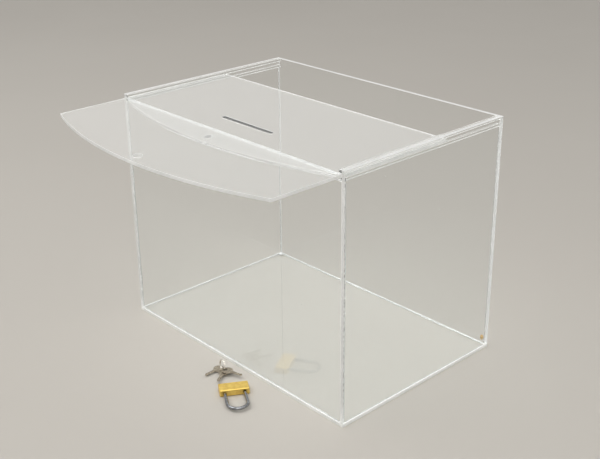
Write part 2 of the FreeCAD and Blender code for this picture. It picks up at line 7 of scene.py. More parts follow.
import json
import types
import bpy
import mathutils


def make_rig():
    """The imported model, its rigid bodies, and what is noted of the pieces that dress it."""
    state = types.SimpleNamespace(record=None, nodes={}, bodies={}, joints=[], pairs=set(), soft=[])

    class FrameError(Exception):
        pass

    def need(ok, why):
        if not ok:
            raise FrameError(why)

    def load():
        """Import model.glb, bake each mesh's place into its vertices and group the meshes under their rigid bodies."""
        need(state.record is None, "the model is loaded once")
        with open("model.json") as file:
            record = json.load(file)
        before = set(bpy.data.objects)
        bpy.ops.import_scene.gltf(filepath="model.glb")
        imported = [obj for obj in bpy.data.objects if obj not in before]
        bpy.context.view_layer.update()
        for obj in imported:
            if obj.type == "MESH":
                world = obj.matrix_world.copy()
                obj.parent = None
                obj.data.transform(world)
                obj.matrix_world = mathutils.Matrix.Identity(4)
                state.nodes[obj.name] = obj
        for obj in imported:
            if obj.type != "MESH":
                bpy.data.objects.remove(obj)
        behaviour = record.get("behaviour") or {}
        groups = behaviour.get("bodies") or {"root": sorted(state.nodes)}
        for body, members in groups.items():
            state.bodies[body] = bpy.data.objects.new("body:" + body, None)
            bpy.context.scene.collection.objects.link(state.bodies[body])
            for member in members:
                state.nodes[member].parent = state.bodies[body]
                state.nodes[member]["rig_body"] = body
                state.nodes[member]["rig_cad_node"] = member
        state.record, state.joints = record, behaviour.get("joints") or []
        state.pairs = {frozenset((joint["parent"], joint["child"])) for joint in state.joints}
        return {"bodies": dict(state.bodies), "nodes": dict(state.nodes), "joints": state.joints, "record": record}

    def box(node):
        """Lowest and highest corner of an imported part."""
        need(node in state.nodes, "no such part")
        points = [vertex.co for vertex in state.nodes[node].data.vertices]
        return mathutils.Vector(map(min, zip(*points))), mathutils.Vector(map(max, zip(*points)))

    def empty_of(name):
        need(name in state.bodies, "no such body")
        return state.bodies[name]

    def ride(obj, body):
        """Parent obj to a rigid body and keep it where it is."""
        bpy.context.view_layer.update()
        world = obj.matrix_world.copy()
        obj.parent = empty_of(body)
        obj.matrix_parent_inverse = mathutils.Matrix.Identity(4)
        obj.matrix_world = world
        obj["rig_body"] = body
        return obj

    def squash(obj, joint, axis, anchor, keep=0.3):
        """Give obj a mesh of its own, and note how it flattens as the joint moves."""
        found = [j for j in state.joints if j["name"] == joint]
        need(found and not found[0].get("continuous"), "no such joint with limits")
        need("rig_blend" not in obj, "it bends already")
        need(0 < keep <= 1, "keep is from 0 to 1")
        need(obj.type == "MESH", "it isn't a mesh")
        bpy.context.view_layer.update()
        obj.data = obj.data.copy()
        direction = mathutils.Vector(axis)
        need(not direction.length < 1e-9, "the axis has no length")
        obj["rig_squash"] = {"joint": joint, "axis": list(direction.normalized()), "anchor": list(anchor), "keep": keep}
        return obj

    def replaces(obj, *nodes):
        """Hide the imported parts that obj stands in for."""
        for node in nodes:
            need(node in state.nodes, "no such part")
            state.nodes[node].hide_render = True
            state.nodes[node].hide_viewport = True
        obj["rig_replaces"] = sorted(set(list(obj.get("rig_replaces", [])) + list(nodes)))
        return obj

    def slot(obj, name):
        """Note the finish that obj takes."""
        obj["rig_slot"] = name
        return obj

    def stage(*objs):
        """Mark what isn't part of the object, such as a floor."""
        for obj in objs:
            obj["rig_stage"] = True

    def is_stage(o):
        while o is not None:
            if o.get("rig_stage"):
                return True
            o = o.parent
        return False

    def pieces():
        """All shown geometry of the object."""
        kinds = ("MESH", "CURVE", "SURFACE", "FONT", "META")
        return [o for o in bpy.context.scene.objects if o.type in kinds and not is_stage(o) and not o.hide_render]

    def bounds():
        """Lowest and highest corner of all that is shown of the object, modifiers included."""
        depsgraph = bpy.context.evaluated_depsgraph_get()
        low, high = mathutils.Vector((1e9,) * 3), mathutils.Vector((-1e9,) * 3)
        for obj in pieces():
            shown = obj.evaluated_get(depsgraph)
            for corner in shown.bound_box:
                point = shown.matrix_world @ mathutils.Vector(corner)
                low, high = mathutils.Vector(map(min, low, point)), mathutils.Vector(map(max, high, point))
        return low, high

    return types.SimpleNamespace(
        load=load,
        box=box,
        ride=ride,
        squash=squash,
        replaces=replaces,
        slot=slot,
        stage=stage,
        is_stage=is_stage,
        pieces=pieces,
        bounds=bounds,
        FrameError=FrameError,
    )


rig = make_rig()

bl_info = {
    "name": "Acrylic donation box",
    "version": (1, 0, 0),
    "blender": (4, 5, 0),
    "location": "View3D > Sidebar > Donation box",
    "description": "Dresses a clear donation box, its padlock and its keys, in a plain studio",
    "category": "Object",
}

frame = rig.load()
cad_low, cad_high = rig.bounds()

import json
import math

import bmesh
import bpy
from bpy.props import FloatProperty, FloatVectorProperty, PointerProperty, StringProperty
from mathutils import Matrix, Vector

MM = 0.001
ACRYLIC_IOR = 1.49
FACE, SIDE, ARRIS, JOINT = range(4)      # material slots of an acrylic sheet
NODES = frame["nodes"]
BODIES = frame["record"]["behaviour"]["bodies"]
BODY_OF = {node: body for body, nodes in BODIES.items() for node in nodes}
SLOT_OF = {row["node"]: row["material_slot"] for row in frame["record"]["subparts"]}

RAILS = ("left_lower_rail", "right_lower_rail", "left_upper_rail", "right_upper_rail")
CEMENTED = RAILS + (
    "base_plate", "front_wall", "back_wall", "left_wall", "right_wall", "lock_shelf")
KEYS = ("key_1", "key_2", "key_3")

CAMERA_PLACE = Vector((0.6673, -0.6229, 0.509))
CAMERA_LOOK = Vector((-0.674, 0.6199, -0.4018))
CAMERA_RIGHT = Vector((0.6802, 0.733, -0.0102))
SENSOR_WIDTH = 36.0


# ---------------------------------------------------------------- colours and nodes


def linear(hex_colour):
    """An sRGB hex colour such as D8BE7A as linear red, green, blue and a full alpha."""
    channels = [int(hex_colour[i:i + 2], 16) / 255 for i in (0, 2, 4)]
    return tuple(
        c / 12.92 if c <= 0.04045 else ((c + 0.055) / 1.055) ** 2.4 for c in channels) + (1.0,)


def add(tree, kind, inputs=None, **settings):
    """Add one node; an input given as a node or a socket is linked, anything else is its value."""
    node = tree.nodes.new(kind)
    for name, value in settings.items():
        setattr(node, name, value)
    for name, value in (inputs or {}).items():
        if isinstance(value, bpy.types.Node):
            value = next(output for output in value.outputs if output.enabled)
        if isinstance(value, bpy.types.NodeSocket):
            tree.links.new(value, node.inputs[name])
        else:
            node.inputs[name].default_value = value
    return node


def new_material(name):
    """Give a new material, its emptied node tree and the place on the piece in metres."""
    material = bpy.data.materials.new(name)
    material.use_nodes = True
    tree = material.node_tree
    tree.nodes.clear()
    return material, tree, add(tree, "ShaderNodeTexCoord").outputs["Object"]


def let_lamps_through(tree, shader, tint):
    """End a clear material so that lamp light passes on to what is behind the sheet."""
    path = add(tree, "ShaderNodeLightPath")
    clear = add(tree, "ShaderNodeBsdfTransparent", {"Color": linear(tint)})
    both = add(tree, "ShaderNodeMixShader", {
        0: path.outputs["Is Shadow Ray"], 1: shader, 2: clear})
    add(tree, "ShaderNodeOutputMaterial", {"Surface": both})


# ---------------------------------------------------------------- finishes


def cast_acrylic_polished(settings, name, clearness):
    """Cast acrylic sheet: a clear polished face with hairline wipe scratches and hand grease.

    Less clearness paints a pale diffuse veil over the face: a painted sheen that stands in for the reflection of the
    studio light.
    """
    material, tree, place = new_material(name)
    # wipe scratches 0.3 mm wide in two directions, drawn wider than real so that they show
    scratches = []
    for turn, drawn_out in ((0.5, (1.0, 0.03, 1.0)), (-0.3, (0.03, 1.0, 1.0))):
        wiped = add(tree, "ShaderNodeMapping", {
            "Vector": place, "Rotation": (0, 0, turn), "Scale": drawn_out})
        scratches.append(add(tree, "ShaderNodeTexNoise", {
            "Vector": wiped, "Scale": 1 / (0.3 * MM), "Detail": 2.0, "Roughness": 0.55}))
    crossed = add(tree, "ShaderNodeMath", dict(enumerate(scratches)), operation="MAXIMUM")
    hair = add(tree, "ShaderNodeMapRange", {
        "Value": crossed, "From Min": 0.70, "From Max": 0.80,
        "To Min": 0.0, "To Max": settings.scratch_haze})
    # hand grease in patches 45 mm across
    patches = add(tree, "ShaderNodeTexNoise", {
        "Vector": place, "Scale": 1 / (45 * MM), "Detail": 4.0, "Roughness": 0.6})
    grease = add(tree, "ShaderNodeMapRange", {
        "Value": patches, "From Min": 0.52, "From Max": 0.75,
        "To Min": 0.004, "To Max": settings.grease_haze})
    haze = add(tree, "ShaderNodeMath", {0: hair, 1: grease}, operation="ADD")
    # specks of dust 1 mm across and some 35 mm apart, larger than real so that they show
    specks = add(tree, "ShaderNodeTexVoronoi", {"Vector": place, "Scale": 1 / (35 * MM)})
    # away from the specks the face passes clearness of the light; below 1 the rest shows as a pale veil, a painted
    # sheen
    clear = add(tree, "ShaderNodeMapRange", {
        "Value": specks, "From Min": 0.012, "From Max": 0.018, "To Min": 0.3, "To Max": clearness})
    # the slow waviness of a cast face, 60 mm from crest to crest
    waves = add(tree, "ShaderNodeTexNoise", {
        "Vector": place, "Scale": 1 / (60 * MM), "Detail": 1.0, "Roughness": 0.55})
    bump = add(tree, "ShaderNodeBump", {
        "Height": waves, "Strength": 0.05, "Distance": 0.02 * MM})
    shader = add(tree, "ShaderNodeBsdfPrincipled", {
        "Base Color": linear("FDFEFE"), "Roughness": haze, "Normal": bump,
        "IOR": ACRYLIC_IOR, "Transmission Weight": clear})
    let_lamps_through(tree, shader, "FAFBFB")
    return material


def acrylic_edge(name, mark, clearness, smooth):
    """Cut acrylic edge: frosted by the tool, so it gathers light in the sheet and shows white.

    The tool marks stand mark metres apart; a scraped and polished edge is clearer and smoother.
    """
    material, tree, place = new_material(name)
    drawn_out = add(tree, "ShaderNodeMapping", {"Vector": place, "Scale": (1.0, 1.0, 0.25)})
    marks = add(tree, "ShaderNodeTexNoise", {
        "Vector": drawn_out, "Scale": 1 / mark, "Detail": 3.0, "Roughness": 0.55})
    # places where the edge was scraped a little clearer, 25 mm long
    blotches = add(tree, "ShaderNodeTexNoise", {
        "Vector": place, "Scale": 1 / (25 * MM), "Detail": 3.0, "Roughness": 0.55})
    scraped = add(tree, "ShaderNodeMapRange", {
        "Value": blotches, "From Min": 0.35, "From Max": 0.7})
    tone = add(tree, "ShaderNodeMix", {
        "Factor": scraped, "A": linear("FFFFFD"), "B": linear("F0F1EE")}, data_type="RGBA")
    bump = add(tree, "ShaderNodeBump", {
        "Height": marks, "Strength": 0.2, "Distance": 0.05 * MM})
    frost = add(tree, "ShaderNodeMapRange", {
        "Value": marks, "From Min": 0.3, "From Max": 0.7,
        "To Min": smooth, "To Max": smooth + 0.2})
    shader = add(tree, "ShaderNodeBsdfPrincipled", {
        "Base Color": tone, "Roughness": frost, "Normal": bump,
        "IOR": ACRYLIC_IOR, "Transmission Weight": clearness})
    let_lamps_through(tree, shader, "F4F4F2")
    return material


def acrylic_joint(name, wetted, dry, smooth):
    """Cemented butt joint: the cement wets the sawn face and leaves milky islands in it.

    Wetted and dry are how much light passes the two; smooth is the roughness where it is wetted.
    """
    material, tree, place = new_material(name)
    # islands 2.5 mm across that the cement didn't wet
    islands = add(tree, "ShaderNodeTexNoise", {
        "Vector": place, "Scale": 1 / (2.5 * MM), "Detail": 3.0, "Roughness": 0.6})
    frost = add(tree, "ShaderNodeMapRange", {
        "Value": islands, "From Min": 0.4, "From Max": 0.6,
        "To Min": smooth, "To Max": smooth + 0.2})
    clear = add(tree, "ShaderNodeMapRange", {
        "Value": islands, "From Min": 0.42, "From Max": 0.62, "To Min": wetted, "To Max": dry})
    shader = add(tree, "ShaderNodeBsdfPrincipled", {
        "Base Color": linear("FDFDFC"), "IOR": ACRYLIC_IOR,
        "Roughness": frost, "Transmission Weight": clear})
    let_lamps_through(tree, shader, "F4F6F6")
    return material


def acrylic_cement():
    """Run-in acrylic cement: a clear glossy bead with pinhead bubbles and small milky spots."""
    material, tree, place = new_material("acrylic_cement_bead")
    # bubbles about 1 mm across and 3 mm apart, larger than real so that they show
    bubbles = add(tree, "ShaderNodeTexVoronoi", {"Vector": place, "Scale": 1 / (3 * MM)})
    frost = add(tree, "ShaderNodeMapRange", {
        "Value": bubbles, "From Min": 0.1, "From Max": 0.3, "To Min": 0.4, "To Max": 0.12})
    clear = add(tree, "ShaderNodeMapRange", {
        "Value": bubbles, "From Min": 0.10, "From Max": 0.22, "To Min": 0.25, "To Max": 0.9})
    shader = add(tree, "ShaderNodeBsdfPrincipled", {
        "Base Color": linear("FAFCFC"), "IOR": ACRYLIC_IOR,
        "Roughness": frost, "Transmission Weight": clear})
    let_lamps_through(tree, shader, "F4F6F6")
    return material


def painted_glint_finish():
    """A milky white, glossy blob, clearer in spots: a painted glint that stands in for the bright spot where the sawn
    edges meet in the back left corner.
    """
    material, tree, place = new_material("painted_glint_white")
    clouds = add(tree, "ShaderNodeTexNoise", {
        "Vector": place, "Scale": 1 / (1.2 * MM), "Detail": 3.0, "Roughness": 0.55})
    frost = add(tree, "ShaderNodeMapRange", {
        "Value": clouds, "From Min": 0.3, "From Max": 0.7, "To Min": 0.08, "To Max": 0.22})
    clear = add(tree, "ShaderNodeMapRange", {
        "Value": clouds, "From Min": 0.45, "From Max": 0.7, "To Min": 0.1, "To Max": 0.5})
    shader = add(tree, "ShaderNodeBsdfPrincipled", {
        "Base Color": linear("FCFDFF"), "IOR": ACRYLIC_IOR,
        "Roughness": frost, "Transmission Weight": clear})
    add(tree, "ShaderNodeOutputMaterial", {"Surface": shader})
    return material


def amber_blob_finish():
    """An amber, glossy blob, mottled lighter and darker in swirls 1.5 mm across."""
    material, tree, place = new_material("amber_blob_glossy")
    swirls = add(tree, "ShaderNodeTexNoise", {
        "Vector": place, "Scale": 1 / (1.5 * MM), "Detail": 3.0, "Roughness": 0.55})
    clouds = add(tree, "ShaderNodeMapRange", {
        "Value": swirls, "From Min": 0.35, "From Max": 0.7})
    tone = add(tree, "ShaderNodeMix", {
        "Factor": clouds, "A": linear("EBCB86"), "B": linear("C6934A")}, data_type="RGBA")
    frost = add(tree, "ShaderNodeMapRange", {"Value": clouds, "To Min": 0.12, "To Max": 0.3})
    shader = add(tree, "ShaderNodeBsdfPrincipled", {
        "Base Color": tone, "IOR": ACRYLIC_IOR, "Transmission Weight": 0.2, "Roughness": frost})
    add(tree, "ShaderNodeOutputMaterial", {"Surface": shader})
    return material


def brass_linished(settings):
    """Drawn brass bar, linished and lacquered: pale yellow with fine lines and dull patches."""
    material, tree, place = new_material("brass_linished")
    # linishing lines 0.25 mm apart run across the body, which lies turned on the table
    across = add(tree, "ShaderNodeMapping", {
        "Vector": place, "Rotation": (0, 0, 0.546), "Scale": (1.0, 0.06, 1.0)})
    lines = add(tree, "ShaderNodeTexNoise", {
        "Vector": across, "Scale": 1 / (0.25 * MM), "Detail": 3.0, "Roughness": 0.55})
    tarnish = add(tree, "ShaderNodeTexNoise", {
        "Vector": place, "Scale": 1 / (4 * MM), "Detail": 4.0, "Roughness": 0.6})
    dull = add(tree, "ShaderNodeMapRange", {
        "Value": tarnish, "From Min": 0.35, "From Max": 0.75})
    tone = add(tree, "ShaderNodeMix", {
        "Factor": dull, "A": tuple(settings.brass), "B": linear("DDB85C")}, data_type="RGBA")
    bump = add(tree, "ShaderNodeBump", {
        "Height": lines, "Strength": 0.25, "Distance": 0.03 * MM})
    grain = add(tree, "ShaderNodeMapRange", {
        "Value": lines, "From Min": 0.3, "From Max": 0.7, "To Min": 0.32, "To Max": 0.48})
    shader = add(tree, "ShaderNodeBsdfPrincipled", {
        "Base Color": tone, "Metallic": 1.0, "Normal": bump, "Roughness": grain})
    add(tree, "ShaderNodeOutputMaterial", {"Surface": shader})
    return material


def worked_metal(name, light, dark, smooth, rough, scratch):
    """Plated, drawn or stamped metal: bright, with fine handling scratches and dull worn spots."""
    material, tree, place = new_material(name)
    along = add(tree, "ShaderNodeMapping", {
        "Vector": place, "Rotation": (0, 0, 0.9), "Scale": (1.0, 0.05, 1.0)})
    lines = add(tree, "ShaderNodeTexNoise", {
        "Vector": along, "Scale": 1 / scratch, "Detail": 2.0, "Roughness": 0.55})
    # spots 2.5 mm across where handling has dulled it
    spots = add(tree, "ShaderNodeTexNoise", {
        "Vector": place, "Scale": 1 / (2.5 * MM), "Detail": 4.0, "Roughness": 0.65})
    worn = add(tree, "ShaderNodeMapRange", {"Value": spots, "From Min": 0.4, "From Max": 0.7})
    tone = add(tree, "ShaderNodeMix", {
        "Factor": worn, "A": linear(light), "B": linear(dark)}, data_type="RGBA")
    bump = add(tree, "ShaderNodeBump", {
        "Height": lines, "Strength": 0.2, "Distance": 0.02 * MM})
    grain = add(tree, "ShaderNodeMapRange", {
        "Value": lines, "From Min": 0.35, "From Max": 0.7, "To Min": smooth, "To Max": rough})
    shader = add(tree, "ShaderNodeBsdfPrincipled", {
        "Base Color": tone, "Metallic": 1.0, "Normal": bump, "Roughness": grain})
    add(tree, "ShaderNodeOutputMaterial", {"Surface": shader})
    return material


# ---------------------------------------------------------------- meshes


def mesh_of(node):
    """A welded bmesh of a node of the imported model, with its flat faces whole again."""
    mesh = bmesh.new()
    mesh.from_mesh(NODES[node].data)
    bmesh.ops.remove_doubles(mesh, verts=mesh.verts, dist=0.002 * MM)
    bmesh.ops.dissolve_limit(
        mesh, angle_limit=math.radians(0.5), verts=mesh.verts, edges=mesh.edges)
    mesh.normal_update()
    return mesh


def draw_in(mesh, gap):
    """Move every face in by gap, so that neighbours cemented together don't share a face."""
    moves = []
    for vertex in mesh.verts:
        normals = []
        for face in vertex.link_faces:
            if all(face.normal.dot(other) < 0.9 for other in normals):
                normals.append(face.normal.copy())
        moves.append((vertex, sum(normals, Vector()) * -gap))
    for vertex, move in moves:
        vertex.co += move


def break_edges(mesh, width, segments=2, angle=40.0):
    """Take the sharp arris off every edge that is sharper than angle."""
    limit = math.radians(angle)
    sharp = [e for e in mesh.edges if len(e.link_faces) == 2 and e.calc_face_angle() > limit]
    bmesh.ops.bevel(mesh, geom=sharp, offset=width, segments=segments, profile=0.5,
                    affect="EDGES", clamp_overlap=True)


def piece_for(node, mesh, materials):
    """Turn a bmesh into a piece that stands for a node, on the same body and material slot."""
    data = bpy.data.meshes.new(f"{node}_finished")
    bmesh.ops.triangulate(mesh, faces=[f for f in mesh.faces if len(f.verts) > 4])
    mesh.to_mesh(data)
    mesh.free()
    piece = bpy.data.objects.new(f"{node}_finished", data)
    bpy.context.scene.collection.objects.link(piece)
    for material in materials:
        data.materials.append(material)
    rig.replaces(piece, node)
    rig.ride(piece, BODY_OF[node])
    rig.slot(piece, SLOT_OF[node])
    return piece


def is_slot_wall(face, low, high):
    """Whether a side face belongs to the slot: near the middle line, well inside the rim."""
    middle, half_slot, rim = face.calc_center_median(), 36 * MM, 25 * MM
    return abs(middle.x) < half_slot and low.y + rim < middle.y < high.y - rim


def is_joint(node, face):
    """Whether the middle of a face of a sheet is cemented to another sheet."""
    probe = face.calc_center_median() + face.normal * 0.2 * MM
    boxes = [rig.box(other) for other in CEMENTED if node in CEMENTED and other != node]
    return any(all(low[i] < probe[i] < high[i] for i in range(3)) for low, high in boxes)


def acrylic_sheet(node, face_finish, side_finish, arris_finish, joint_finish, settings):
    """A sheet with its faces, cut sides, arrises and cemented joints each in their finish."""
    low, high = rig.box(node)
    spans = list(high - low)
    thin = spans.index(min(spans))
    mesh = mesh_of(node)
    draw_in(mesh, settings.cement_gap)
    break_edges(mesh, settings.arris)
    mesh.normal_update()
    for face in mesh.faces:
        across = abs(face.normal[thin])
        face.smooth = False
        face.material_index = FACE if across > 0.99 else SIDE if across < 0.05 else ARRIS
        if face.material_index == SIDE and thin == 2 and is_slot_wall(face, low, high):
            face.material_index = FACE
        if face.material_index != ARRIS and is_joint(node, face):
            face.material_index = JOINT
    return piece_for(node, mesh, [face_finish, side_finish, arris_finish, joint_finish])


def new_piece(name, mesh, material, body, slot):
    """A piece of its own that rides on a body."""
    data = bpy.data.meshes.new(name)
    mesh.to_mesh(data)
    mesh.free()
    data.materials.append(material)
    piece = bpy.data.objects.new(name, data)
    bpy.context.scene.collection.objects.link(piece)
    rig.ride(piece, body)
    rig.slot(piece, slot)
    return piece


def corner_bead(radius, length, along, into, up):
    """A bead in an inside corner: it runs along one axis and fills between the other two."""
    mesh = bmesh.new()
    steps = 5
    profile = [Vector()]
    for i in range(steps + 1):
        angle = math.pi / 2 * i / steps
        profile.append(into * radius * (1 - math.sin(angle)) + up * radius * (1 - math.cos(angle)))
    ends = [[mesh.verts.new(point + along * run) for point in profile] for run in (0.0, length)]
    mesh.faces.new(ends[0])
    mesh.faces.new(reversed(ends[1]))
    for i in range(len(profile)):
        j = (i + 1) % len(profile)
        mesh.faces.new((ends[0][j], ends[0][i], ends[1][i], ends[1][j]))
    bmesh.ops.recalc_face_normals(mesh, faces=mesh.faces)
    return mesh


def cement_beads(settings, material):
    """Beads of cement where the walls meet the base and each other, inside the case."""
    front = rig.box("front_wall")[1]
    low = Vector((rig.box("left_wall")[1].x, front.y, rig.box("base_plate")[1].z))
    high = Vector((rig.box("right_wall")[0].x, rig.box("back_wall")[0].y, front.z))
    x, y, z = Vector((1, 0, 0)), Vector((0, 1, 0)), Vector((0, 0, 1))
    span = high - low
    gap, inset = settings.cement_gap, 2 * settings.bead
    runs = {
        "front_bottom": (low, x, span.x, y, z),
        "back_bottom": (Vector((low.x, high.y, low.z)), x, span.x, -y, z),
        "left_bottom": (low, y, span.y, x, z),
        "right_bottom": (Vector((high.x, low.y, low.z)), y, span.y, -x, z),
        "front_left": (low, z, span.z, x, y),
        "front_right": (Vector((high.x, low.y, low.z)), z, span.z, -x, y),
        "back_left": (Vector((low.x, high.y, low.z)), z, span.z, x, -y),
        "back_right": (Vector((high.x, high.y, low.z)), z, span.z, -x, -y),
    }
    for name, (start, along, length, into, up) in runs.items():
        mesh = corner_bead(settings.bead, length - 2 * inset, along, into, up)
        corner = start + along * inset + (into + up) * gap
        bmesh.ops.translate(mesh, verts=mesh.verts, vec=corner)
        new_piece(f"cement_{name}", mesh, material, "case", "clear_acrylic")


def corner_blob(name, middle, size, material):
    """A small lumpy blob set in a corner, uneven all round."""
    mesh = bmesh.new()
    bmesh.ops.create_icosphere(mesh, subdivisions=3, radius=1.0)
    for vertex in mesh.verts:
        swell = 1 + 0.12 * math.sin(5 * vertex.co.z + 2 * vertex.co.x)
        swell += 0.08 * math.sin(7 * vertex.co.y)
        vertex.co = Vector(a * b for a, b in zip(vertex.co * swell, size))
    bmesh.ops.translate(mesh, verts=mesh.verts, vec=middle)
    for face in mesh.faces:
        face.smooth = True
    new_piece(name, mesh, material, "case", "clear_acrylic")


def carve(piece, cutters):
    """Cut the cutters' shapes out of a piece, and bin the cutters."""
    for cutter in cutters:
        bpy.context.scene.collection.objects.link(cutter)
        step = piece.modifiers.new(cutter.name, "BOOLEAN")
        step.object = cutter
        step.solver = "EXACT"
    bpy.context.view_layer.update()
    depsgraph = bpy.context.evaluated_depsgraph_get()
    carved = bpy.data.meshes.new_from_object(piece.evaluated_get(depsgraph))
    piece.modifiers.clear()
    piece.data = carved
    for cutter in cutters:
        bpy.data.objects.remove(cutter)


def cutter_from(name, mesh, placing):
    """An object for carve, with its mesh moved to its place."""
    data = bpy.data.meshes.new(name)
    bmesh.ops.transform(mesh, matrix=placing, verts=mesh.verts)
    mesh.to_mesh(data)
    mesh.free()
    return bpy.data.objects.new(name, data)


def key_piece(node, material, settings):
    """A stamped key: rounded edges, and on both sides a groove in the blade and a pressed bow."""
    joint = next(j for j in frame["joints"] if j["child"] == node)
    hole = Vector(joint["pos_m"])
    low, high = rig.box(node)
    flat = [Vector((v.co.x - hole.x, v.co.y - hole.y, 0)) for v in NODES[node].data.vertices]
    tip = max(flat, key=lambda v: v.length)
    along = tip.normalized()
    side = Vector((-along.y, along.x, 0))
    bow_radius = max(abs(v.dot(side)) for v in flat)
    bow_middle = bow_radius + min(v.dot(along) for v in flat)
    turn = Matrix((along, side, Vector((0, 0, 1)))).transposed().to_4x4()

    mesh = mesh_of(node)
    break_edges(mesh, settings.key_arris, 2, 50.0)
    for face in mesh.faces:
        face.smooth = False
    piece = piece_for(node, mesh, [material])

    # the groove starts 0.6 mm past the bow, ends 1.2 mm short of the tip and lies 0.5 mm off
    # the middle; the press leaves a rim 1.1 mm wide round the bow
    cutters = []
    blade_from, blade_to = bow_middle + bow_radius + 0.6 * MM, tip.length - 1.2 * MM
    press_radius, deep = bow_radius - 1.1 * MM, 2 * settings.key_recess
    size = Matrix.Diagonal((blade_to - blade_from, settings.key_groove, deep, 1.0))
    groove_middle = hole + along * (blade_from + blade_to) / 2 + side * -0.5 * MM
    press_middle = hole + along * bow_middle
    for name, z in (("top", high.z), ("bottom", low.z)):
        groove = bmesh.new()
        bmesh.ops.create_cube(groove, size=1.0)
        placing = Matrix.Translation((groove_middle.x, groove_middle.y, z)) @ turn @ size
        cutters.append(cutter_from(f"groove_{name}", groove, placing))
        press = bmesh.new()
        bmesh.ops.create_cone(press, cap_ends=True, segments=40, radius1=press_radius,
                              radius2=press_radius, depth=deep)
        placing = Matrix.Translation((press_middle.x, press_middle.y, z))
        cutters.append(cutter_from(f"press_{name}", press, placing))
    carve(piece, cutters)


def spring_piece(node, joint_name, material):
    """A coil spring that closes up along the joint's axis as the part that rests on it moves in."""
    joint = next(j for j in frame["joints"] if j["name"] == joint_name)
    axis = Vector(joint["axis"]).normalized()
    points = [v.co for v in NODES[node].data.vertices]
    near, far = min(p.dot(axis) for p in points), max(p.dot(axis) for p in points)
    middle = sum(points, Vector()) / len(points)
    mesh = bmesh.new()
    mesh.from_mesh(NODES[node].data)
    for face in mesh.faces:
        face.smooth = True
    piece = piece_for(node, mesh, [material])
    length, travel = far - near, max(abs(limit) for limit in joint["range_m"])
    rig.squash(piece, joint_name, axis=axis, anchor=middle + axis * (far - middle.dot(axis)),
              keep=(length - travel) / length)


def repaint(node, material):
    """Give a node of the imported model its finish."""
    mesh = NODES[node].data
    mesh.materials.clear()
    mesh.materials.append(material)


# ---------------------------------------------------------------- settings


class DonationBoxAcrylic(bpy.types.PropertyGroup):
    """Sizes and finish of the acrylic."""
    arris: FloatProperty(
        name="Arris", description="Width of the scraped edge of each sheet",
        default=0.25 * MM, min=0.0, unit="LENGTH")
    cement_gap: FloatProperty(
        name="Cement gap", description="Half of the cement line between two sheets",
        default=0.02 * MM, min=0.0, unit="LENGTH")
    scratch_haze: FloatProperty(
        name="Scratch haze", description="Roughness in the wipe scratches",
        default=0.12, min=0.0, max=1.0)
    grease_haze: FloatProperty(
        name="Grease haze", description="Roughness in the hand marks",
        default=0.05, min=0.0, max=1.0)
    # below 1 the lid and the lock shelf get a pale diffuse veil: a painted sheen
    lid_clearness: FloatProperty(
        name="Lid clearness", description="How much of the light passes a face of the lid",
        default=0.93, min=0.0, max=1.0)
    bead: FloatProperty(
        name="Cement bead", description="Radius of the cement bead in the inside corners",
        default=0.9 * MM, min=0.0, unit="LENGTH")
    sawn_clearness: FloatProperty(
        name="Sawn edge clearness", description="How much of the light passes a sawn edge",
        default=0.08, min=0.0, max=1.0)
    routed_clearness: FloatProperty(
        name="Routed edge clearness", description="How much of the light passes an edge of the lid",
        default=0.16, min=0.0, max=1.0)
    scraped_clearness: FloatProperty(
        name="Scraped edge clearness", description="How much of the light passes a scraped edge",
        default=0.22, min=0.0, max=1.0)


class DonationBoxMetal(bpy.types.PropertyGroup):
    """Colours of the padlock and keys."""
    brass: FloatVectorProperty(
        name="Brass", description="Colour of the linished brass", subtype="COLOR", size=4,
        default=linear("F4D67A"), min=0.0, max=1.0)
    key_arris: FloatProperty(
        name="Key arris", description="Width of the rounded edge of a key",
        default=0.1 * MM, min=0.0, unit="LENGTH")
    key_groove: FloatProperty(
        name="Key groove", description="Width of the groove milled along a key's blade",
        default=0.8 * MM, min=0.0, unit="LENGTH")
    key_recess: FloatProperty(
        name="Key recess", description="Depth of the groove and of the pressed middle of the bow",
        default=0.14 * MM, min=0.0, unit="LENGTH")


class DonationBoxStage(bpy.types.PropertyGroup):
    """The studio round the box."""
    floor: FloatVectorProperty(
        name="Floor", description="Colour of the floor", subtype="COLOR", size=4,
        default=linear("C3BEB6"), min=0.0, max=1.0)
    backdrop: FloatVectorProperty(
        name="Backdrop", description="Colour of what is round the studio", subtype="COLOR", size=4,
        default=linear("E6E3DE"), min=0.0, max=1.0)
    ambient: FloatProperty(
        name="Ambient", description="Strength of the light from all round", default=0.5, min=0.0)
    key_power: FloatProperty(
        name="Key light", description="Power of the large lamp",
        default=16.0, min=0.0, unit="POWER")
    fill_share: FloatProperty(
        name="Fill share", description="Power of the fill lamp as a share of the large lamp",
        default=0.8, min=0.0, max=1.0)
    lens: FloatProperty(
        name="Lens", description="Focal length of the camera",
        default=61.29, min=1.0, unit="CAMERA")


class DonationBoxSettings(bpy.types.PropertyGroup):
    """All settings of the donation box."""
    acrylic: PointerProperty(type=DonationBoxAcrylic, name="Acrylic", description="Acrylic sheet")
    metal: PointerProperty(type=DonationBoxMetal, name="Metal", description="Padlock and keys")
    stage: PointerProperty(type=DonationBoxStage, name="Stage", description="Studio")
    size_file: StringProperty(
        name="Size file", description="Where the sizes are written", default="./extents.json",
        subtype="FILE_PATH")


# ---------------------------------------------------------------- operators


